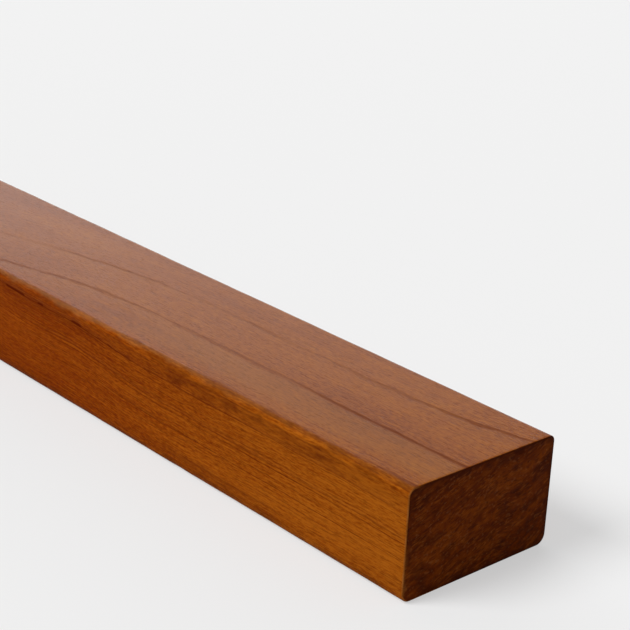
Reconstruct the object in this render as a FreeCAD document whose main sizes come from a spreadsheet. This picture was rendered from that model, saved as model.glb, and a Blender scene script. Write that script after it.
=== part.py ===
# Stair handrail length: one straight piece of hardwood, planed to a rectangle with rounded
# long edges and sawn square at both ends.
#
# Millimetres, +Z up. The rail lies on its broad underside with its length along X.
# The origin is at the middle of that underside.

import FreeCAD, Part
import math
import os

import Sketcher

# Driving dimensions, in millimetres: alias, value, what it measures.
DIMENSIONS = (
    ("rail_length", "1800", "sawn length, end to end"),
    ("rail_width", "70", "broad faces, the top and the underside"),
    ("rail_height", "42", "narrow faces, the two sides"),
    ("edge_radius", "4", "round on the four long edges"),
    ("end_arris", "0.5", "sanded-off edge around each sawn end"),
)
NODE = "handrail"
PARTS_FOLDER = "parts"

# Points of a sketch element, and the sketch's own axes.
START, END = 1, 2
HORIZONTAL_AXIS, VERTICAL_AXIS = -1, -2

# An edge thinner than this along X lies in the plane of an end.
FLATNESS = 1e-6
CUBIC_MM_PER_LITRE = 1e6


def make_sheet(doc):
    """The spreadsheet that drives every size."""
    sheet = doc.addObject("Spreadsheet::Sheet", "Sizes")
    for row, (alias, value, meaning) in enumerate(DIMENSIONS, start=1):
        sheet.set(f"A{row}", alias)
        sheet.set(f"B{row}", value)
        sheet.set(f"C{row}", meaning)
        sheet.setAlias(f"B{row}", alias)
    doc.recompute()
    return sheet


def origin_plane(body, role):
    return next(f for f in body.Origin.OriginFeatures if f.Role == role)


def draw_section(body, sheet):
    """The rail's section, across X: four straight faces joined by four equal tangent arcs."""
    sketch = body.newObject("Sketcher::SketchObject", "Section")
    sketch.AttachmentSupport = [(origin_plane(body, "YZ_Plane"), "")]
    sketch.MapMode = "FlatFace"

    half, height, radius = sheet.rail_width / 2, sheet.rail_height, sheet.edge_radius
    inner, low, high = half - radius, radius, height - radius
    faces = (
        ((-inner, 0), (inner, 0)),
        ((half, low), (half, high)),
        ((inner, height), (-inner, height)),
        ((-half, high), (-half, low)),
    )
    corner_centres = ((inner, low), (inner, high), (-inner, high), (-inner, low))
    underside, right, top, left = (
        sketch.addGeometry(Part.LineSegment(FreeCAD.Vector(*a), FreeCAD.Vector(*b)))
        for a, b in faces
    )
    corners = []
    for quarter, centre in enumerate(corner_centres, start=-1):
        circle = Part.Circle(FreeCAD.Vector(*centre), FreeCAD.Vector(0, 0, 1), radius)
        angles = quarter * math.pi / 2, (quarter + 1) * math.pi / 2
        corners.append(sketch.addGeometry(Part.ArcOfCircle(circle, *angles)))

    # Each face runs into the corner that follows it, and that corner into the next face.
    around = (underside, right, top, left)
    for face, corner, next_face in zip(around, corners, around[1:] + around[:1]):
        sketch.addConstraint(Sketcher.Constraint("Tangent", face, END, corner, START))
        sketch.addConstraint(Sketcher.Constraint("Tangent", corner, END, next_face, START))
    sketch.addConstraint(Sketcher.Constraint("Horizontal", top))
    for side in (right, left):
        sketch.addConstraint(Sketcher.Constraint("Vertical", side))
    for corner in corners[1:]:
        sketch.addConstraint(Sketcher.Constraint("Equal", corners[0], corner))

    # The underside lies on the floor line, with the section's middle over the origin.
    sketch.addConstraint(Sketcher.Constraint("PointOnObject", underside, START, HORIZONTAL_AXIS))
    centred = ("Symmetric", underside, START, underside, END, VERTICAL_AXIS)
    sketch.addConstraint(Sketcher.Constraint(*centred))

    driven = (
        ("width", "rail_width", ("DistanceX", left, START, right, START, 2 * half)),
        ("height", "rail_height", ("DistanceY", underside, START, top, START, height)),
        ("radius", "edge_radius", ("Radius", corners[0], radius)),
    )
    for name, alias, constraint in driven:
        index = sketch.addConstraint(Sketcher.Constraint(*constraint))
        sketch.renameConstraint(index, name)
        sketch.setExpression(f"Constraints.{name}", f"Sizes.{alias}")
    body.Document.recompute()
    if not sketch.FullyConstrained:
        raise RuntimeError("the section's sketch isn't fully constrained")
    return sketch


def extrude(body, sketch):
    """The section carried along the rail, half its length each way from the origin."""
    pad = body.newObject("PartDesign::Pad", "Rail")
    pad.Profile = sketch
    pad.SideType = "Symmetric"
    pad.setExpression("Length", "Sizes.rail_length")
    body.Document.recompute()
    return pad


def ease_ends(body, pad):
    """The sharp edges that the saw leaves around both ends, taken off with sandpaper."""
    around_ends = [
        f"Edge{number}"
        for number, edge in enumerate(pad.Shape.Edges, start=1)
        if edge.BoundBox.XLength < FLATNESS
    ]
    arris = body.newObject("PartDesign::Chamfer", "EndArris")
    arris.Base = (pad, around_ends)
    arris.setExpression("Size", "Sizes.end_arris")
    body.Tip = arris
    body.Document.recompute()


def make_handrail(doc, sheet):
    body = doc.addObject("PartDesign::Body", "Handrail")
    body.Label = NODE
    pad = extrude(body, draw_section(body, sheet))
    ease_ends(body, pad)
    body.Placement = FreeCAD.Placement()
    return body


def check(doc, bodies):
    """Stops before anything is written if a feature failed or a piece isn't one good solid."""
    for item in doc.Objects:
        if {"Invalid", "Error"} & set(item.State):
            raise RuntimeError(f"{item.Label} failed: {item.State}")
    for body in bodies:
        shape = body.Shape
        if shape.isNull() or not shape.isValid() or len(shape.Solids) != 1:
            raise RuntimeError(f"{body.Label} isn't one valid solid")


def main():
    doc = FreeCAD.newDocument("StairHandrail")
    sheet = make_sheet(doc)
    bodies = [make_handrail(doc, sheet)]
    doc.recompute()
    check(doc, bodies)
    os.makedirs(PARTS_FOLDER, exist_ok=True)
    for body in bodies:
        body.Shape.exportStep(os.path.join(PARTS_FOLDER, f"{body.Label}.step"))
        box = body.Shape.BoundBox
        print(
            f"{body.Label}: {box.XLength:.2f} x {box.YLength:.2f} x {box.ZLength:.2f} mm,"
            f" lowest {box.ZMin:.3f}, {body.Shape.Volume / CUBIC_MM_PER_LITRE:.4f} litres"
        )


main()
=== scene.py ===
# A length of varnished hardwood stair handrail, lying on a pale studio floor.
#
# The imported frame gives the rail's place and size. This script gives the rail its looks: a finely
# meshed skin with hand-sanded edges, and wood that is figured right through, so that the growth
# rings run on from the faces over the edges to the sawn ends.
#
# Shapes and figure are in millimetres. X is measured from the rail's right end, so it is negative
# all along the rail. Colours are linear red, green and blue.

import math
from collections import namedtuple

import bpy
import numpy as np
from mathutils import Matrix, Vector


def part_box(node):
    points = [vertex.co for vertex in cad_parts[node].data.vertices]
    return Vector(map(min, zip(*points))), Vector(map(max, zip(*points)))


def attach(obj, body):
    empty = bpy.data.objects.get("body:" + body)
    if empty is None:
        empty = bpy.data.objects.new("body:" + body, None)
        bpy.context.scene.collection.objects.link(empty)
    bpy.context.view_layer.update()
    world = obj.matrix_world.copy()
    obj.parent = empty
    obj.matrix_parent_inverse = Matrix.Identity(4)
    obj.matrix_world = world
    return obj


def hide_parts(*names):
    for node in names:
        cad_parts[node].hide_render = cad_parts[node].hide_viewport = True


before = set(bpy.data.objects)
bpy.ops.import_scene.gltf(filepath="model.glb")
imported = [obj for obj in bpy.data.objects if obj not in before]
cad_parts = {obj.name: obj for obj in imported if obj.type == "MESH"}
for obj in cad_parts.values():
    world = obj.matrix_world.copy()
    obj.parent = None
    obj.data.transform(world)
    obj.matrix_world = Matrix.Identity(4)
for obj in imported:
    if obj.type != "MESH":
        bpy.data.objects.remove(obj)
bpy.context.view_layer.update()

MM = 0.001
NODE = "handrail"
SLOT = "varnished_hardwood"
SEED = 27

# The rail's own sizes. Length, width and height come from the frame.
rail_low, rail_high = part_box(NODE)
LENGTH, WIDTH, HEIGHT = ((high - low) / MM for low, high in zip(rail_low, rail_high))
END_X = rail_high.x
EDGE_RADIUS = 4.0
END_ARRIS = 0.5

# The skin's mesh: faces across the flats, around a long edge, along the rail and over an arris,
# and the width of the first row of faces beside an arris.
BROAD_CELLS, NARROW_CELLS, EDGE_CELLS, LENGTH_CELLS, ARRIS_CELLS = 24, 14, 10, 720, 4
FIRST_ROW = 1.0

# The map that colours are baked on: the long faces' share of its height, and its margins.
MAP_LONG_SHARE, MAP_MARGIN = 0.8, 0.01

# The long edges are sanded by hand, and the top ones less. Each has its own mean radius, in the
# order of the section's loop, and wanders about it, as (amount, every so far), most of all the
# edge between the top and the -Y side. Knocks make it larger, by amounts and over reaches in
# these ranges.
SANDED_TO = (4.0, 4.0, 2.4, 3.0)
SANDING = ((1.0, 26.0), (0.8, 9.0))
SANDED = (0.25, 0.25, 0.25, 0.35)
KNOCKS_PER_EDGE = 9
KNOCK_GROWTHS, KNOCK_REACHES = (0.15, 0.4), (1.5, 4.5)
# The one knock that shows, on the edge between the top and the -Y side: place, reach, growth.
SHOWING_EDGE = 3
SHOWING_KNOCK = (-58.0, 3.4, 0.7)

# Beside the edges the sides are rubbed dark in places, and painted shade darkens the -Y side along
# its lower edge: how strongly on each edge, and the reach and depth of the rubs that are scattered
# beyond the stretch that shows. Those that show have an edge, a place, a reach and a depth. Between
# the rubs, an edge is darkened at least so much.
RUB_SEED = 5
RUB_AND_SHADE_EDGES = (0.6, 0.6, 0.6, 1.0)
RUBS_PER_EDGE, RUB_REACHES, RUB_DEPTHS = 16, (3.0, 10.0), (0.4, 1.0)
SHOWN = 320.0
# The one on edge 0, along the -Y side's lower edge, is painted shade.
SHOWING_RUBS_AND_SHADE = ((3, -121, 9, 0.8), (3, -44, 12, 0.9), (3, -88, 62, 0.66), (0, -98, 58, 0.8))
LEAST_RUB_AND_SHADE = 0.25

# The growth rings climb towards +Y across the section, and curve upwards a little. Along the rail
# they are straight but for a few swells: where each is, how far it carries the rings, and its
# reach. One more swell shows on the -Y side alone. Near the right end the rings curl down on the
# +Y side.
RING_TILT, RING_BOW = math.radians(21.5), 0.0031
SWELLS = ((-350, -12.5, 103), (-830, 6, 150), (-1240, -9, 120), (-1600, 7, 110))
SIDE_SWELL, SIDE_SWELL_FROM, SIDE_SWELL_TO = (-187, -2.4, 32), -20.0, -33.0
CURL, CURL_REACH, CURL_FROM, CURL_TO = 4.2, 34.0, 5.0, 24.0
RING_WANDER, RING_WANDER_EVERY = 0.25, 60.0

# The wood of the -Y side: where it starts and is full, around the rings. Along the rail, the
# figure of the sides grows calmer between two places.
NEAR_SIDE, CALMER = (-10.0, -20.0), (-130.0, -230.0)

# How the figure is written. A slope goes smoothly from a first level to a last one, between two
# places. A band comes in from its start until it is full, and goes again from its fade to its end.
# A noise has the size of its patches along the grain, around the rings and across them, and its
# detail. Patches turn a noise into levels by a slope. A mark is the part of a noise that shows,
# laid over the wood with a strength and a colour.
Slope = namedtuple("Slope", "start stop first last")
Band = namedtuple("Band", "start full fade end")
Noise = namedtuple("Noise", "size detail")
Patches = namedtuple("Patches", "noise slope")
Mark = namedtuple("Mark", "noise shows strength colour")
# Patches of this size hardly change from one side of the rail to the other.
WIDE = 400
# The part of Blender's noise that is spread from 0 to 1, and how far apart two fields of it lie.
NOISE_SHOWS, FIELD_APART = (0.25, 0.75), 31.7

# Ripples in the rings, each with its depth.
RIPPLES = ((Noise((26, 7, 7), 2), 0.5), (Noise((7, 2, 2), 2), 0.16))

# Dark ring edges that stand out: place across the rings, darkness on the broad faces, on the sides
# and on these where they are calmer, how far the stain beyond them fades, how far from the right
# end they are bold, how faint they are on the broad faces past that, and if they swell into dashes
# on the sides.
RingEdge = namedtuple("RingEdge", "place broad narrow calmer fade bold faint dashed")
RING_EDGES = (
    RingEdge(41.9, 0.50, 0.56, 0.72, 2.3, 88, 0.46, 1.0),
    RingEdge(33.0, 0.44, 0.58, 0.30, 2.2, 42, 0.56, 0.0),
    RingEdge(31.6, 0.06, 0.52, 0.26, 0.4, 40, 0.36, 0.0),
    RingEdge(34.4, 0.06, 0.40, 0.20, 0.4, 40, 0.36, 0.0),
    RingEdge(48.9, 0.60, 0.45, 0.45, 0.3, 26, 0.36, 0.0),
)
# Where it stops being bold, a ring edge turns faint over this distance either side. Further along
# the broad faces they all come to one level between two places, and then turn bold again between
# two more.
BOLD_SOFTNESS = 12.0
FAINT_PLACES, FAINT_BEYOND, BOLD_AGAIN = (-130, -250), 0.60, (-330, -430)
# A ring edge's dark core across the rings. On the broad faces and on the sides it is so much wider
# and the stain beyond it so strong. Along the grain it is broken into patches.
CORE = Band(-0.10, 0.0, 0.24, 0.52)
CORE_WIDENS, STAINED = (1.35, 1.05), (1.0, 0.35)
BROKEN = Patches(Noise((60, 14, WIDE), 1), Slope(0.1, 0.9, 0.65, 1.0))
# The dashes, how much wider and darker they are, and where along the rail they come and go.
DASHES = Patches(Noise((9, WIDE, WIDE), 0), Slope(0.5, 0.8, 0.0, 1.0))
DASH_WIDENS, DASH_DARKENS = 1.3, 0.75
DASHED = Band(-380.0, -270.0, -190.0, -110.0)
# The growth layer beyond the first ring edge is paler on the broad faces: where it is across the
# rings, from where to where along the rail it comes in, and how much paler it is.
LAYER, LAYER_PLACES, LAYER_STRENGTH = Band(42.2, 43.2, 46.3, 48.0), (-200, -110), 0.25
# Fine ring edges between the dark ones: how far apart they are, their core, and the patches they
# show in.
FINE_RINGS_APART = 1.6
FINE_CORE = Band(-0.08, 0.0, 0.12, 0.32)
FINE_PATCHES = Patches(Noise((70, 8, 6), 1), Slope(0.25, 0.75, 0.0, 1.0))
# How strongly fine ring edges and streaks show on the broad faces, and along the sides.
BUSY_BROAD, BUSY_SIDES = 0.3, Slope(*CALMER, 1.0, 0.6)

# Long bands that follow the rings on every face. On the long faces there are broad clouds, fibres
# and flecks as well, and on the sawn ends a mottle.
BANDS = Noise((260, 60, 4.2), 2)
CLOUDS = Noise((150, 16, 10), 1)
FIBRES = Noise((36, 0.8, 0.28), 2)
FLECKS = Noise((2.4, 0.6, 0.5), 2)
MOTTLE = Noise((WIDE, 4.2, 2.0), 4)

# The long faces' tone, from 0 for the darkest wood to 1 for the lightest: its middle, and how much
# clouds and bands change it. Fibres change it by one amount on the broad faces and by another on
# the sides. Flecks do so too, and both their amounts change along the rail.
TONE, CLOUD_TONE, BAND_TONE, FIBRE_TONES = 0.51, 0.20, 0.08, (0.26, 0.38)
BROAD_FLECK_TONE, SIDE_FLECK_TONE = Slope(-230, -150, 0.16, 0.40), Slope(*CALMER, 0.60, 0.36)
# Along the rail, the share of heartwood on the sides, and how much lighter the -Y side's wood is.
HEART, LIGHTER = Slope(0, -230, 0.50, 0.86), Slope(0, -230, 0.38, 0.0)
# How strongly the ring edges' stain, their lines and the fine ring edges cover the wood.
STAIN_STRENGTH, LINE_STRENGTH, FINE_STRENGTH = 0.55, 1.0, 0.7

# The looks of the long edges go by the distance from the middle of the round, and a noise shifts
# them by this much in all. Painted shade darkens the round in patches, inside the first of two
# distances and fully inside the second.
EDGE_NOISE, EDGE_SHIFT = Noise((12, 9, 9), 2), 1.6
PAINTED_ROUND_SHADE = (3.6, 2.0)
ROUND_SHADE_PATCHES = Patches(Noise((11, 4, 4), 4), Slope(0.2, 0.8, 0.0, 0.42))
# Where the sides are rubbed dark beside the round, with painted shade along the -Y side's lower edge,
# and how strongly.
RUB_AND_SHADE_PLACE, RUB_AND_SHADE_STRENGTH = Band(1.5, 2.9, 5.6, 8.2), 0.80
RUB_AND_SHADE_PATCHES = Patches(Noise((10, 2.5, 2.0), 3), Slope(0.20, 0.80, 0.45, 1.0))
# A painted sheen makes the edge between the top and the -Y side paler: where, counted backwards
# around the rings, how near to the edge, how much at least, and how much more from where to where
# along the rail.
EDGE_SHEEN_NOISE, EDGE_SHEEN_SHIFT = Noise((7, 6, 6), 3), 1.5
EDGE_SHEEN_PLACE, EDGE_SHEEN_REACH = Band(13.8, 15.0, 15.6, 17.4), (8.0, 5.0)
EDGE_SHEEN_LEAST, EDGE_SHEEN_MORE, EDGE_SHEEN_STRETCH = 0.02, 0.12, Band(-430, -300, -200, -30)
# The arrises at the ends show from a little way over them. On the -Y side they carry a patchy painted
# highlight.
ARRIS_FROM, ARRIS_STRENGTH = (0.0, 0.15), 0.95
ARRIS_PATCHES = Patches(Noise((WIDE, 5, 5), 2), Slope(0.2, 0.8, 0.35, 0.8))

# The varnish: the tint of its gloss and its index of refraction, its roughness and how much fibres,
# flecks, pores and ring lines change that, and where around the rings it turns duller. Its bump:
# the depth, and the heights of fibres, flecks, and pores and ring lines.
GLOSS_TINT, VARNISH_IOR = (1.0, 0.5, 0.15), 1.08
ROUGH, FIBRE_ROUGH, FLECK_ROUGH, PORE_ROUGH, LINE_ROUGH = 0.36, 0.06, 0.05, 0.12, 0.5
DULLER = Slope(-16.8, -18.8, 0.0, 0.3)
BUMP_DEPTH, FIBRE_BUMP, FLECK_BUMP, PORE_BUMP = 0.02, 0.3, 0.3, -0.8

# The sawn ends' tone: its middle, and how much bands and mottle change it. It falls around the
# rings and across them, and a band in the middle is lighter.
END_TONE, END_BAND_TONE, MOTTLE_TONE = 0.49, 0.5, 0.58
FALLS_AROUND, FALLS_ACROSS = Slope(-25, 45, 0.08, -0.10), Slope(4, 36, 0.06, -0.08)
MIDDLE, MIDDLE_LIGHTER = Band(14, 24, 26, 36), 0.12
# How strong the ring edges' stain is there, by the distance from the rim, and how strong all
# their lines are.
END_STAINED, END_LINE_STRENGTH = Slope(9.0, 1.0, 0.5, 0.9), 0.5
# The looks of the rim go by the distance from it, and a noise shifts them by this much in all. The
# rim is soaked dark, but carries a painted pale highlight instead along the -Y side: within which
# distances, how strongly, and from where to where around the rings the highlight comes in.
RIM_NOISE, RIM_SHIFT = Noise((WIDE, 6, 4), 2), 3.0
RIM_SOAKED, SOAKED_STRENGTH = (3.4, 0.2), 0.65
RIM_HIGHLIGHT_REACH, RIM_HIGHLIGHT_STRENGTH, RIM_HIGHLIGHT_FROM = (1.4, 0.0), 0.4, (-22, -28)
# The ends' index of refraction, roughness and bump, as for the varnish.
END_IOR, END_ROUGH, MOTTLE_ROUGH = 1.1, 0.6, 0.15
END_BUMP_DEPTH, MOTTLE_BUMP, END_PORE_BUMP = 0.05, 0.4, -0.6

# Marks in the wood, on the long faces and on the sawn ends. The ends' strokes show in patches.
DARK_STREAKS = Mark(Noise((60, 2.2, 0.28), 2), (0.62, 0.90), 0.27, (0.085, 0.012, 0.001))
LIGHT_STREAKS = Mark(Noise((24, 1.3, 0.26), 2), (0.62, 0.92), 0.30, (0.460, 0.140, 0.010))
PORES = Mark(Noise((4.5, 0.3, 0.3), 0), (0.80, 0.97), 0.35, (0.080, 0.014, 0.001))
END_CLUMPS = Mark(Noise((WIDE, 9.0, 5.0), 3), (0.55, 0.95), 0.50, (0.045, 0.005, 0.0004))
END_STROKES = Mark(Noise((WIDE, 3.2, 0.7), 1), (0.55, 0.90), 0.47, (0.300, 0.075, 0.0100))
STROKE_PATCHES = Patches(Noise((WIDE, 9, 6), 2), Slope(0.2, 0.8, 0.25, 1.0))
END_SPECKS = Mark(Noise((WIDE, 1.3, 0.8), 0), (0.97, 1.00), 0.22, (0.330, 0.120, 0.0400))
END_PORES = Mark(Noise((WIDE, 2.6, 0.6), 1), (0.64, 0.95), 0.58, (0.055, 0.007, 0.0006))

# Wood colours from dark to light, on the long faces, in their heartwood and on the sawn ends.
WOOD = ((0.115, 0.016, 0.0004), (0.243, 0.058, 0.0015), (0.385, 0.124, 0.0080))
HEARTWOOD = ((0.115, 0.009, 0.0002), (0.222, 0.032, 0.0003), (0.340, 0.066, 0.0020))
END_WOOD = ((0.065, 0.008, 0.0004), (0.140, 0.021, 0.0008), (0.230, 0.046, 0.0030))
# Colours of the rings, and of the edges and ends, among them painted shade, a painted sheen and
# painted highlights.
RING_STAIN = (0.165, 0.056, 0.018)
RING_LINE = (0.095, 0.010, 0.001)
FINE_LINE = (0.075, 0.008, 0.001)
PALE_LAYER = (0.330, 0.135, 0.030)
ROUND_SHADE_TINT = (0.090, 0.016, 0.001)
RUB_AND_SHADE_TINT = (0.080, 0.009, 0.001)
PAINTED_EDGE_SHEEN = (0.600, 0.320, 0.120)
DARK_ARRIS = (0.050, 0.006, 0.001)
PAINTED_ARRIS_HIGHLIGHT = (0.430, 0.145, 0.030)
END_STAIN = (0.042, 0.004, 0.0004)
PAINTED_RIM_HIGHLIGHT = (0.330, 0.110, 0.0200)

# The view: where the camera stands from the middle of the right end's lower edge, its angles in
# degrees, its lens for the usual 36 mm sensor, and how near it sees.
CAMERA_FROM_END = (337.6, -387.2, 290.2)
CAMERA_AZIMUTH, CAMERA_ELEVATION, CAMERA_ROLL = 47.62, 21.34, -2.79
CAMERA_LENS, SENSOR_WIDTH, NEAREST_SEEN = 98.0, 36.0, 10.0

# Light. The key stands at the front left, so the right end is in shade. A large soft panel at the
# back lights the far side and lies along the varnish of the top. Panel and floor are in metres.
KEY_DIRECTION = (-0.30, -0.64, 0.71)
KEY_STRENGTH, KEY_ANGLE = 2.65, math.radians(30)
PANEL_DIRECTION, PANEL_DISTANCE = (-0.80, 0.56, 0.22), 8.0
PANEL_WIDTH, PANEL_HEIGHT, PANEL_RADIANCE = 8.0, 3.5, 3.85
# The light from all round, and the pale level at which the background is seen. The floor throws
# back so much light, is seen so pale, and glows with this share of the pale level where it is seen.
AMBIENT, PALE = 0.28, 0.888
FLOOR_BOUNCE, FLOOR_SEEN, FLOOR_GLOW = 0.5, 0.88, 0.55
FLOOR_SIZE = 60.0


def smoothstep(low, high, value):
    t = np.clip((value - low) / (high - low), 0, 1)
    return t * t * (3 - 2 * t)


def wander(place, every, rng):
    """A smooth random line from 0 to 1, with a new level each so many millimetres."""
    steps = (place - place.min()) / every
    levels = rng.random(int(steps.max()) + 2)
    before = steps.astype(int)
    share = smoothstep(0, 1, steps - before)
    return levels[before] * (1 - share) + levels[before + 1] * share


class Section:
    """The rail's section as a loop of points (y, z), with what is known at each of them.

    The loop starts in the middle of the edge between the -Y side and the underside, and runs along
    the underside, up the +Y side, back along the top and down the -Y side. Each side has its own
    stretch of the loop, from the middle of one long edge to the middle of the next.
    """

    def __init__(self):
        sides = (
            ((0, -1), (1, 0), BROAD_CELLS),
            ((1, 0), (0, 1), NARROW_CELLS),
            ((0, 1), (-1, 0), BROAD_CELLS),
            ((-1, 0), (0, -1), NARROW_CELLS),
        )
        half_size = np.array((WIDTH / 2, HEIGHT / 2))
        middle = np.array((0, HEIGHT / 2))
        turns = np.linspace(0, math.pi / 4, EDGE_CELLS // 2 + 1)
        points, normals, growth, edges, from_edge, narrow, girths = [], [], [], [], [], [], []
        girth = 0.0
        for number, (outward, onward, cells) in enumerate(sides):
            outward, onward = np.array(outward), np.array(onward)
            flat = np.sin(np.linspace(-math.pi / 2, math.pi / 2, cells + 1))
            share = np.concatenate((-np.ones(len(turns) - 1), flat, np.ones(len(turns) - 2)))
            lean = np.concatenate((-turns[:0:-1], np.zeros(len(flat)), turns[1:-1]))
            half_flat = half_size @ np.abs(onward) - EDGE_RADIUS
            half_run = half_flat + EDGE_RADIUS * turns[-1]
            run = share * half_flat + EDGE_RADIUS * lean
            along = share * half_flat + EDGE_RADIUS * np.sin(lean)
            out = half_size @ np.abs(outward) - EDGE_RADIUS * (1 - np.cos(lean))
            points.append(middle + np.outer(out, outward) + np.outer(along, onward))
            normals.append(np.outer(np.cos(lean), outward) + np.outer(np.sin(lean), onward))
            inward = np.outer(np.cos(lean) - 1, outward)
            growth.append(inward + np.outer(np.sin(lean) - share, onward))
            edges.append(np.where(run < 0, number, (number + 1) % len(sides)))
            from_edge.append(half_run - np.abs(run))
            narrow.append(np.full(len(run), abs(outward[0])))
            girths.append(girth + half_run + run)
            girth += 2 * half_run
        self.points = np.concatenate(points)
        self.normals = np.concatenate(normals)
        # How each point moves when the radius of its edge grows by a millimetre.
        self.growth = np.concatenate(growth)
        self.edge = np.concatenate(edges)
        self.from_edge = np.concatenate(from_edge)
        self.narrow = np.concatenate(narrow)
        self.girth = np.concatenate(girths)
        self.whole_girth = girth
        self.side_starts = np.cumsum([0] + [len(side) for side in points])


def end_grid(section, loop):
    """Numbers of an end's vertices in a grid: those of the loop on its rim, and -1 inside."""
    closed = np.append(loop, loop[0])
    starts = section.side_starts
    under, right, top, left = (closed[a:b + 1] for a, b in zip(starts[:-1], starts[1:]))
    grid = np.full((len(under), len(right)), -1)
    grid[:, 0] = under
    grid[-1, :] = right
    grid[:, -1] = top[::-1]
    grid[0, :] = left[::-1]
    return grid


def fill_between(rim):
    """Points of a grid that are blended in from the points on its rim."""
    u = np.linspace(0, 1, rim.shape[0])[:, None, None]
    v = np.linspace(0, 1, rim.shape[1])[None, :, None]
    across = (1 - u) * rim[:1] + u * rim[-1:]
    up = (1 - v) * rim[:, :1] + v * rim[:, -1:]
    corners = (1 - v) * across[:, :1] + v * across[:, -1:]
    return across + up - corners


def grain_of(points, rng):
    """Where points lie in the wood: along the grain, around the rings and across the rings."""
    x, y, z = points.T
    around = math.cos(RING_TILT) * y + math.sin(RING_TILT) * z
    across = math.cos(RING_TILT) * z - math.sin(RING_TILT) * y - RING_BOW * y ** 2 / 2
    at_side = smoothstep(SIDE_SWELL_FROM, SIDE_SWELL_TO, y)
    swells = [(swell, 1) for swell in SWELLS] + [(SIDE_SWELL, at_side)]
    for (centre, carry, reach), share in swells:
        across = across + share * carry * np.exp(-(((x - centre) / reach) ** 2))
    across = across + CURL * np.exp(x / CURL_REACH) * smoothstep(CURL_FROM, CURL_TO, y)
    across = across + RING_WANDER * (2 * wander(x, RING_WANDER_EVERY, rng) - 1)
    return np.stack((x, around, across), 1)


def edge_radii(stations, rng):
    """The radius of each long edge, at each station along the rail."""
    edges = []
    for edge, (mean, sanded) in enumerate(zip(SANDED_TO, SANDED)):
        uneven = sum(amount * (wander(stations, every, rng) - 0.5) for amount, every in SANDING)
        radius = mean + sanded * uneven
        knocks = [
            (rng.uniform(-LENGTH, 0), rng.uniform(*KNOCK_REACHES), rng.uniform(*KNOCK_GROWTHS))
            for _ in range(KNOCKS_PER_EDGE)
        ]
        if edge == SHOWING_EDGE:
            knocks.append(SHOWING_KNOCK)
        for place, reach, growth in knocks:
            radius = radius + growth * np.exp(-(((stations - place) / reach) ** 2))
        edges.append(radius)
    return np.stack(edges, 1)


def edge_rubs_and_shade(stations):
    """How rubbed the sides are beside each long edge, with painted shade along the -Y side's lower
    edge, from 0 to 1, at each station.
    """
    rng = np.random.default_rng(RUB_SEED)
    edges = []
    for edge, rubbed_and_shaded in enumerate(RUB_AND_SHADE_EDGES):
        rubs = [
            (rng.uniform(-LENGTH, -SHOWN), rng.uniform(*RUB_REACHES), rng.uniform(*RUB_DEPTHS))
            for _ in range(RUBS_PER_EDGE)
        ]
        rubs.extend(rub_and_shade for shown_on, *rub_and_shade in SHOWING_RUBS_AND_SHADE if shown_on == edge)
        edge_marks = [
            depth * np.exp(-(((stations - place) / reach) ** 2)) for place, reach, depth in rubs
        ]
        edges.append(rubbed_and_shaded * np.maximum(np.max(edge_marks, 0), LEAST_RUB_AND_SHADE))
    return np.stack(edges, 1)


def long_faces(section, rng):
    """The long faces' points, row by row from the left end to the right, and four facts about
    each: how far over the arris it is, how far from the middle of a long edge, how rubbed and
    painted with shade, and if its face is narrow."""
    arris = np.linspace(0, math.pi / 2, ARRIS_CELLS + 1)
    arris_in, arris_sunk = END_ARRIS * (1 - np.cos(arris)), END_ARRIS * (1 - np.sin(arris))
    from_end = END_ARRIS + FIRST_ROW
    body = np.linspace(from_end - LENGTH, -from_end, LENGTH_CELLS + 1)
    stations = np.concatenate((arris_in - LENGTH, body, -arris_in[::-1]))
    sunk = np.concatenate((arris_sunk, np.zeros(len(body)), arris_sunk[::-1]))

    larger = edge_radii(stations, rng)[:, section.edge] - EDGE_RADIUS
    around = section.points + larger[..., None] * section.growth
    around = around - sunk[:, None, None] * section.normals
    along = np.broadcast_to(stations[:, None, None], around.shape[:2] + (1,))
    over_arris = sunk[:, None] / END_ARRIS
    rubbed_and_shaded = edge_rubs_and_shade(stations)[:, section.edge] * section.narrow
    facts = np.broadcast_arrays(over_arris, section.from_edge, rubbed_and_shaded, section.narrow)
    return np.concatenate((along, around), 2), np.stack(facts, 2)


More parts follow.
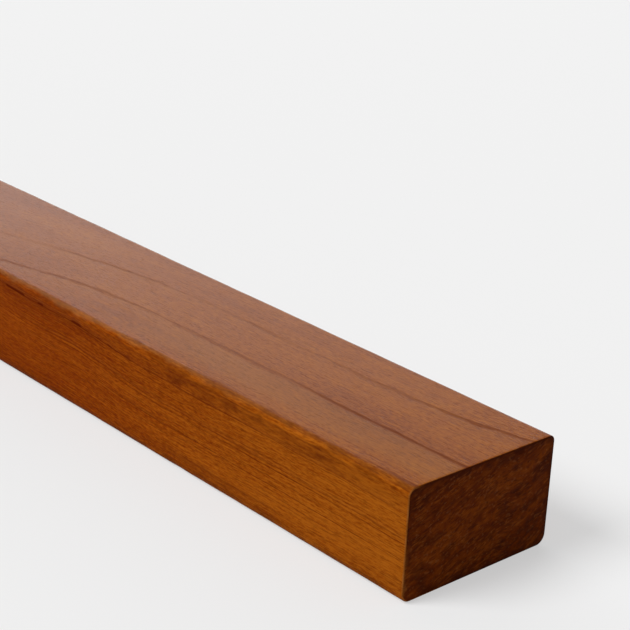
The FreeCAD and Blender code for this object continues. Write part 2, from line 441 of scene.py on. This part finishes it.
def make_skin():
    """The rail's mesh object, with its grain, the facts its edge marks and painted light go by, its
    bake map and its two materials.
    """
    rng = np.random.default_rng(SEED)
    section = Section()
    skin, facts = long_faces(section, rng)
    rows, around = skin.shape[:2]
    numbers = np.arange(rows * around).reshape(rows, around)

    points, grids, count = [skin.reshape(-1, 3)], [], rows * around
    for row in (0, -1):
        grid = end_grid(section, numbers[row])
        rim = skin[row][np.maximum(grid - numbers[row][0], 0)]
        inside = fill_between(rim)[1:-1, 1:-1]
        grid[1:-1, 1:-1] = count + np.arange(inside[..., 0].size).reshape(inside.shape[:2])
        count += inside[..., 0].size
        points.append(inside.reshape(-1, 3))
        grids.append(grid)
    points = np.concatenate(points)
    inside_facts = np.tile((0.0, HEIGHT / 2, 0.0, 0.0), (count - rows * around, 1))
    facts = np.concatenate((facts.reshape(-1, 4), inside_facts))

    after = np.roll(numbers, -1, 1)
    sides = np.stack((numbers[:-1], after[:-1], after[1:], numbers[1:]), 2).reshape(-1, 4)
    left, right = (
        np.stack((g[:-1, :-1], g[1:, :-1], g[1:, 1:], g[:-1, 1:]), 2).reshape(-1, 4) for g in grids
    )
    faces = np.concatenate((sides, left[:, ::-1], right))
    is_end = np.arange(len(faces)) >= len(sides)

    mesh = bpy.data.meshes.new(NODE + "_skin")
    mesh.from_pydata(points * MM + (END_X, 0, 0), [], faces)
    mesh.shade_smooth()
    mesh.materials.append(varnished_wood())
    mesh.materials.append(end_grain())
    mesh.polygons.foreach_set("material_index", is_end.astype(np.int32))

    grain = grain_of(points, rng)
    near_side = smoothstep(*NEAR_SIDE, grain[:, 1])
    from_sides = WIDTH / 2 - np.abs(points[:, 1])
    from_top_or_under = HEIGHT / 2 - np.abs(points[:, 2] - HEIGHT / 2)
    from_rim = np.minimum(from_sides, from_top_or_under)
    from_rim[:rows * around] = 0
    keep(mesh, "grain", grain)
    keep(mesh, "edges", facts[:, :3])
    keep(mesh, "places", np.stack((from_rim, near_side, np.maximum(near_side, facts[:, 3])), 1))
    lay_out_map(mesh, section, points, faces, len(sides))
    mesh.update()
    piece = bpy.data.objects.new(NODE + "_skin", mesh)
    bpy.context.scene.collection.objects.link(piece)
    return piece


def keep(mesh, name, vectors):
    """Keep a vector for each point of the mesh, for the materials to read."""
    attribute = mesh.attributes.new(name, "FLOAT_VECTOR", "POINT")
    attribute.data.foreach_set("vector", vectors.ravel().astype(np.float32))


def lay_out_map(mesh, section, points, faces, side_count):
    """The map that colours are baked on: the long faces unrolled from the middle of the underside,
    and the two ends side by side above them."""
    corners = np.zeros((len(faces), 4, 2))

    girth, whole = section.girth, section.whole_girth
    under_middle = girth[(section.side_starts[1] - 1) // 2 + 1]
    start = (girth - under_middle) % whole
    stop = start + np.diff(np.append(girth, whole))
    around = np.tile(np.stack((start, stop, stop, start), 1), (side_count // len(girth), 1)) / whole
    along = points[faces[:side_count], 0] / LENGTH + 1
    u = MAP_MARGIN + (1 - 2 * MAP_MARGIN) * along
    v = MAP_MARGIN + (MAP_LONG_SHARE - MAP_MARGIN) * around
    corners[:side_count] = np.stack((u, v), 2)

    scale = (1 - MAP_LONG_SHARE - 2 * MAP_MARGIN) / HEIGHT
    for number, part in enumerate(np.split(np.arange(side_count, len(faces)), 2)):
        from_left = MAP_MARGIN + number * (WIDTH * scale + MAP_MARGIN)
        corner = (from_left, MAP_LONG_SHARE + MAP_MARGIN)
        corners[part] = corner + scale * (points[faces[part]][..., 1:] + (WIDTH / 2, 0))
    layer = mesh.uv_layers.new(name="OFBake")
    layer.uv.foreach_set("vector", corners.ravel().astype(np.float32))


class Nodes:
    """The nodes of a material or a world, written as expressions: a method adds one or more and
    gives their output."""

    def __init__(self, owner):
        owner.use_nodes = True
        self.tree = owner.node_tree
        self.tree.nodes.clear()
        self.fields = 0

    def add(self, kind, inputs=(), output=0, **settings):
        node = self.tree.nodes.new("ShaderNode" + kind)
        for name, setting in settings.items():
            setattr(node, name, setting)
        for socket, value in dict(inputs).items():
            if isinstance(value, bpy.types.NodeSocket):
                self.tree.links.new(value, node.inputs[socket])
            else:
                node.inputs[socket].default_value = value
        return node.outputs[output] if node.outputs else node

    def math(self, operation, a, b=0.0):
        return self.add("Math", {0: a, 1: b}, operation=operation)

    def times(self, a, b):
        return self.math("MULTIPLY", a, b)

    def plus(self, a, b):
        return self.math("ADD", a, b)

    def most(self, a, b):
        return self.math("MAXIMUM", a, b)

    def parts(self, vector):
        return self.add("SeparateXYZ", {0: vector}).node.outputs

    def total(self, start, *parts):
        """A start value, plus each part's departure from its middle times its weight."""
        for value, weight in parts:
            start = self.plus(start, self.times(self.plus(value, -0.5), weight))
        return start

    def smooth(self, value, start, stop, first=0.0, last=1.0):
        """A level that goes from first to last while the value goes from start to stop."""
        ends = {"From Min": start, "From Max": stop, "To Min": first, "To Max": last}
        return self.add("MapRange", {"Value": value, **ends}, interpolation_type="SMOOTHSTEP")

    def band(self, value, start, full, fade, end):
        """0 up to the start, 1 from full to fade, and 0 again past the end."""
        return self.times(self.smooth(value, start, full), self.smooth(value, fade, end, 1.0, 0.0))

    def noise(self, vector, noise):
        """Noise from 0 to 1 along the vector's axes, with a field of its own for each call."""
        self.fields += 1
        scales = [1 / size for size in noise.size]
        inputs = {0: vector, 1: scales, 2: [self.fields * FIELD_APART] * 3}
        place = self.add("VectorMath", inputs, operation="MULTIPLY_ADD")
        level = self.add("TexNoise", {"Vector": place, "Scale": 1.0, "Detail": noise.detail})
        return self.smooth(level, *NOISE_SHOWS)

    def patches(self, vector, patches):
        return self.smooth(self.noise(vector, patches.noise), *patches.slope)

    def marks(self, vector, mark):
        return self.smooth(self.noise(vector, mark.noise), *mark.shows)

    def blend(self, share, a, b):
        """A blend of two colours. The mix node takes them at sockets 6 and 7, and gives it at 2."""
        return self.add("Mix", {0: share, 6: a, 7: b}, output=2, data_type="RGBA")

    def over(self, colour, share, strength, tint):
        return self.blend(self.times(share, strength), colour, opaque(*tint))

    def lay(self, colour, share, mark):
        return self.over(colour, share, mark.strength, mark.colour)

    def ramp(self, value, *colours):
        """Colours evenly spaced from 0 to 1."""
        output = self.add("ValToRGB", {0: value})
        elements = output.node.color_ramp.elements
        for _ in colours[2:]:
            elements.new(0.5)
        for number, (element, colour) in enumerate(zip(elements, colours)):
            element.position = number / (len(colours) - 1)
            element.color = opaque(*colour)
        return output

    def surface(self, colour, roughness, ior, height, depth):
        """A glossy surface, with bumps of a depth in millimetres."""
        bump = self.add("Bump", {"Strength": 1.0, "Distance": depth * MM, "Height": height})
        shader = self.add("BsdfPrincipled", {
            "Base Color": colour,
            "Roughness": roughness,
            "IOR": ior,
            "Specular Tint": opaque(*GLOSS_TINT),
            "Normal": bump,
        })
        self.add("OutputMaterial", {"Surface": shader})


def opaque(red, green, blue):
    return (red, green, blue, 1.0)


def grey(level):
    return opaque(level, level, level)


class Figure:
    """The wood's figure, the same on every face: its grain, dark ring edges, fine rings and bands."""

    def __init__(self, n):
        self.n = n
        self.grain, edges, places = (
            n.add("Attribute", output="Vector", attribute_name=name)
            for name in ("grain", "edges", "places")
        )
        self.arris, self.from_edge, self.rubbed_and_shaded = n.parts(edges)
        self.from_rim, self.near_side, self.at_sides = n.parts(places)
        self.along, self.around, self.across = n.parts(self.grain)
        for ripple, depth in RIPPLES:
            self.across = n.total(self.across, (n.noise(self.grain, ripple), depth))
        self.rings = n.add("CombineXYZ", {0: self.along, 1: self.around, 2: self.across})
        self.busy = self.by_face(BUSY_BROAD, n.smooth(self.along, *BUSY_SIDES))
        self.add_ring_edges()
        self.add_fine_rings()
        self.bands = n.noise(self.rings, BANDS)

    def by_face(self, broad, narrow):
        """A level for the broad faces, and one for the sides."""
        return self.n.smooth(self.at_sides, 0.0, 1.0, broad, narrow)

    def add_ring_edges(self):
        """Dark ring edges: sharp on the inner side, stained on the outer side, broken along the
        grain."""
        n = self.n
        broken = n.patches(self.grain, BROKEN)
        dashed = n.times(n.band(self.along, *DASHED), self.at_sides)
        dashes = n.times(n.patches(self.grain, DASHES), dashed)
        widens = self.by_face(*CORE_WIDENS)
        stained = self.by_face(*STAINED)
        bold_again = n.smooth(self.along, *BOLD_AGAIN)
        self.lines, self.stain = 0.0, 0.0
        for ring in RING_EDGES:
            wider = n.plus(widens, n.times(dashes, ring.dashed * DASH_WIDENS))
            beyond = n.math("DIVIDE", n.plus(self.across, -ring.place), wider)
            faint = n.smooth(self.along, *FAINT_PLACES, ring.faint, FAINT_BEYOND)
            turns_faint = (-ring.bold - BOLD_SOFTNESS, -ring.bold + BOLD_SOFTNESS)
            bold = n.smooth(self.along, *turns_faint, faint, 1.0)
            broad = n.times(n.most(bold, bold_again), ring.broad)
            narrow = n.smooth(self.along, *CALMER, ring.narrow, ring.calmer)
            uneven = n.plus(broken, n.times(dashes, ring.dashed * DASH_DARKENS))
            darkness = n.times(self.by_face(broad, narrow), uneven)
            shade = n.times(n.band(beyond, CORE.start, CORE.full, CORE.full, ring.fade), stained)
            self.lines = n.most(self.lines, n.times(n.band(beyond, *CORE), darkness))
            self.stain = n.most(self.stain, n.times(shade, darkness))

    def add_fine_rings(self):
        """Fine ring edges between the dark ones, each of its own strength."""
        n = self.n
        place = n.times(self.across, 1 / FINE_RINGS_APART)
        cells = n.add("TexVoronoi", {"W": place, "Scale": 1.0}, voronoi_dimensions="1D").node.outputs
        beyond = n.times(n.math("SUBTRACT", place, cells["W"]), FINE_RINGS_APART)
        chance = n.add("SeparateColor", {0: cells["Color"]})
        shows = n.times(n.patches(self.grain, FINE_PATCHES), self.busy)
        strength = n.times(n.times(chance, chance), shows)
        self.fine_lines = n.times(n.band(beyond, *FINE_CORE), strength)


def varnished_wood():
    """The long faces: straight fibres, fine dark rings and short pores under a satin varnish."""
    material = bpy.data.materials.new(SLOT)
    n = Nodes(material)
    figure = Figure(n)
    clouds = n.noise(figure.grain, CLOUDS)
    fibres = n.noise(figure.rings, FIBRES)
    flecks = n.noise(figure.grain, FLECKS)
    pores = n.marks(figure.grain, PORES)

    # The wood: its tone, and its colour for that tone.
    fibrous = figure.by_face(*FIBRE_TONES)
    flecked_broad = n.smooth(figure.along, *BROAD_FLECK_TONE)
    flecked = figure.by_face(flecked_broad, n.smooth(figure.along, *SIDE_FLECK_TONE))
    tone = n.total(TONE, (clouds, CLOUD_TONE), (figure.bands, BAND_TONE))
    tone = n.total(tone, (fibres, fibrous), (flecks, flecked))
    tone = n.plus(tone, n.times(n.smooth(figure.along, *LIGHTER), figure.near_side))
    heart = n.times(n.smooth(figure.along, *HEART), figure.at_sides)
    colour = n.blend(heart, n.ramp(tone, *WOOD), n.ramp(tone, *HEARTWOOD))

    # Its rings, streaks and pores.
    shown = n.times(figure.by_face(1.0, 0.0), n.smooth(figure.along, *LAYER_PLACES))
    layer = n.times(n.band(figure.across, *LAYER), shown)
    colour = n.over(colour, layer, LAYER_STRENGTH, PALE_LAYER)
    colour = n.over(colour, figure.stain, STAIN_STRENGTH, RING_STAIN)
    for streaks in (DARK_STREAKS, LIGHT_STREAKS):
        colour = n.lay(colour, n.times(n.marks(figure.rings, streaks), figure.busy), streaks)
    colour = n.over(colour, figure.fine_lines, FINE_STRENGTH, FINE_LINE)
    colour = n.lay(colour, pores, PORES)
    colour = n.over(colour, figure.lines, LINE_STRENGTH, RING_LINE)

    colour = edge_marks_and_painted_light(n, figure, colour)
    height = n.total(0.0, (fibres, FIBRE_BUMP), (flecks, FLECK_BUMP))
    height = n.total(height, (n.most(pores, figure.lines), PORE_BUMP))
    rough = n.total(ROUGH, (fibres, FIBRE_ROUGH), (flecks, FLECK_ROUGH), (pores, PORE_ROUGH))
    rough = n.plus(rough, n.smooth(figure.around, *DULLER))
    rough = n.plus(rough, n.times(figure.lines, LINE_ROUGH))
    n.surface(colour, rough, VARNISH_IOR, height, BUMP_DEPTH)
    return material


def edge_marks_and_painted_light(n, figure, colour):
    """The long faces' colour with its edges: painted shade on the rounds, rubbed dark beside them in
    places with painted shade along the -Y side's lower edge, a painted sheen on the edge between the
    top and the -Y side, and the arrises at the ends, with a painted highlight on the -Y side."""
    uneven = n.total(figure.from_edge, (n.noise(figure.grain, EDGE_NOISE), EDGE_SHIFT))
    # Painted shade darkens the rounds in patches.
    round_shade = n.times(n.smooth(uneven, *PAINTED_ROUND_SHADE), n.patches(figure.grain, ROUND_SHADE_PATCHES))
    colour = n.over(colour, round_shade, 1.0, ROUND_SHADE_TINT)
    # The sides are rubbed dark beside the edges, and painted shade darkens the -Y side along its
    # lower edge.
    rub_and_shade = n.times(n.band(uneven, *RUB_AND_SHADE_PLACE), figure.rubbed_and_shaded)
    rub_and_shade = n.times(rub_and_shade, n.patches(figure.rings, RUB_AND_SHADE_PATCHES))
    colour = n.over(colour, rub_and_shade, RUB_AND_SHADE_STRENGTH, RUB_AND_SHADE_TINT)

    # A painted sheen makes the edge between the top and the -Y side paler.
    backwards = n.times(figure.around, -1.0)
    backwards = n.total(backwards, (n.noise(figure.grain, EDGE_SHEEN_NOISE), EDGE_SHEEN_SHIFT))
    painted_sheen = n.plus(n.times(n.band(figure.along, *EDGE_SHEEN_STRETCH), EDGE_SHEEN_MORE), EDGE_SHEEN_LEAST)
    painted_sheen = n.times(painted_sheen, n.smooth(figure.from_edge, *EDGE_SHEEN_REACH))
    colour = n.over(colour, n.times(n.band(backwards, *EDGE_SHEEN_PLACE), painted_sheen), 1.0, PAINTED_EDGE_SHEEN)

    # The -Y side's arris carries a painted highlight.
    tint = n.blend(figure.near_side, opaque(*DARK_ARRIS), opaque(*PAINTED_ARRIS_HIGHLIGHT))
    patchy = n.patches(figure.grain, ARRIS_PATCHES)
    strength = n.smooth(figure.near_side, 0.0, 1.0, ARRIS_STRENGTH, patchy)
    return n.blend(n.smooth(figure.arris, *ARRIS_FROM, 0.0, strength), colour, tint)


def end_grain():
    """The sawn ends: the rings cut across, with short pale strokes along them and open pores."""
    material = bpy.data.materials.new("sawn_end_grain")
    n = Nodes(material)
    figure = Figure(n)
    mottle = n.noise(figure.grain, MOTTLE)
    pores = n.marks(figure.grain, END_PORES)

    # The wood, its rings and its marks.
    tone = n.total(END_TONE, (figure.bands, END_BAND_TONE), (mottle, MOTTLE_TONE))
    tone = n.plus(tone, n.smooth(figure.around, *FALLS_AROUND))
    tone = n.plus(tone, n.smooth(figure.across, *FALLS_ACROSS))
    tone = n.plus(tone, n.times(n.band(figure.across, *MIDDLE), MIDDLE_LIGHTER))
    colour = n.ramp(tone, *END_WOOD)
    stained = n.times(figure.stain, n.smooth(figure.from_rim, *END_STAINED))
    colour = n.over(colour, stained, 1.0, END_STAIN)
    colour = n.lay(colour, n.marks(figure.grain, END_CLUMPS), END_CLUMPS)
    patchy = n.patches(figure.grain, STROKE_PATCHES)
    colour = n.lay(colour, n.times(n.marks(figure.grain, END_STROKES), patchy), END_STROKES)
    lines = n.most(figure.fine_lines, figure.lines)
    colour = n.over(colour, lines, END_LINE_STRENGTH, FINE_LINE)
    colour = n.lay(colour, pores, END_PORES)
    colour = n.lay(colour, n.marks(figure.grain, END_SPECKS), END_SPECKS)

    # The rim: dark where varnish has soaked in, and a painted pale highlight along the near side's
    # edge.
    uneven = n.total(figure.from_rim, (n.noise(figure.grain, RIM_NOISE), RIM_SHIFT))
    edge_marks = n.smooth(figure.around, *RIM_HIGHLIGHT_FROM)
    soaked = n.times(n.smooth(uneven, *RIM_SOAKED), n.math("SUBTRACT", 1.0, edge_marks))
    colour = n.over(colour, soaked, SOAKED_STRENGTH, END_STAIN)
    colour = n.over(colour, n.times(n.smooth(uneven, *RIM_HIGHLIGHT_REACH), edge_marks), RIM_HIGHLIGHT_STRENGTH, PAINTED_RIM_HIGHLIGHT)

    height = n.total(0.0, (mottle, MOTTLE_BUMP), (pores, END_PORE_BUMP))
    rough = n.total(END_ROUGH, (mottle, MOTTLE_ROUGH))
    n.surface(colour, rough, END_IOR, height, END_BUMP_DEPTH)
    return material


def seen_directly(n):
    """1 where the ray comes from the camera, a gloss or glass, and 0 where it carries plain light."""
    path = n.add("LightPath").node.outputs
    seen = n.most(path["Is Camera Ray"], path["Is Glossy Ray"])
    return n.most(seen, path["Is Transmission Ray"])


def make_floor():
    """A wide pale floor. It glows a little where it is seen, so the rail's shadow stays light."""
    half = FLOOR_SIZE / 2
    corners = [(-half, -half, 0), (half, -half, 0), (half, half, 0), (-half, half, 0)]
    mesh = bpy.data.meshes.new("floor")
    mesh.from_pydata(corners, [], [range(len(corners))])
    material = bpy.data.materials.new("pale_floor")
    n = Nodes(material)
    seen = seen_directly(n)
    plain = n.add("BsdfDiffuse", {"Color": n.blend(seen, grey(FLOOR_BOUNCE), grey(FLOOR_SEEN))})
    glow = n.add("Emission", {"Color": grey(PALE), "Strength": 1.0})
    shader = n.add("MixShader", {0: n.times(seen, FLOOR_GLOW), 1: plain, 2: glow})
    n.add("OutputMaterial", {"Surface": shader})
    mesh.materials.append(material)
    floor = bpy.data.objects.new("floor", mesh)
    bpy.context.scene.collection.objects.link(floor)


def add_light(light, direction, distance=0.0):
    """Stand a light in a direction from the right end, turned towards it."""
    lamp = bpy.data.objects.new(light.name, light)
    towards = Vector(direction).normalized()
    lamp.location = Vector((END_X, 0, 0)) + towards * distance
    lamp.rotation_euler = towards.to_track_quat("Z", "Y").to_euler()
    lamp.visible_camera = False
    bpy.context.scene.collection.objects.link(lamp)


def make_light():
    """The key light, the back panel, and the world's even light."""
    key = bpy.data.lights.new("key", "SUN")
    key.energy = KEY_STRENGTH
    key.angle = KEY_ANGLE
    add_light(key, KEY_DIRECTION)

    panel = bpy.data.lights.new("back_panel", "AREA")
    panel.shape = "RECTANGLE"
    panel.size = PANEL_WIDTH
    panel.size_y = PANEL_HEIGHT
    panel.energy = PANEL_RADIANCE * math.pi * PANEL_WIDTH * PANEL_HEIGHT
    add_light(panel, PANEL_DIRECTION, PANEL_DISTANCE)

    world = bpy.data.worlds.new("studio")
    bpy.context.scene.world = world
    n = Nodes(world)
    level = n.blend(seen_directly(n), grey(AMBIENT), grey(PALE))
    n.add("OutputWorld", {"Surface": n.add("Background", {"Color": level, "Strength": 1.0})})


def make_camera():
    """The camera at the photograph's viewing angle."""
    azimuth, elevation = math.radians(CAMERA_AZIMUTH), math.radians(CAMERA_ELEVATION)
    level = math.cos(elevation)
    back = Vector((math.sin(azimuth) * level, -math.cos(azimuth) * level, math.sin(elevation)))
    lens = bpy.data.cameras.new("camera")
    lens.lens = CAMERA_LENS
    lens.sensor_width = SENSOR_WIDTH
    lens.clip_start = NEAREST_SEEN * MM
    camera = bpy.data.objects.new("camera", lens)
    facing = back.to_track_quat("Z", "Y").to_matrix()
    roll = Matrix.Rotation(math.radians(-CAMERA_ROLL), 3, "Z")
    place = Vector(CAMERA_FROM_END) * MM + Vector((END_X, 0, 0))
    camera.matrix_world = Matrix.Translation(place) @ (facing @ roll).to_4x4()
    bpy.context.scene.collection.objects.link(camera)
    bpy.context.scene.camera = camera


rail = make_skin()
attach(rail, "root")
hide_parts(NODE)
make_floor()
make_light()
make_camera()
bpy.context.scene.view_settings.view_transform = "Standard"
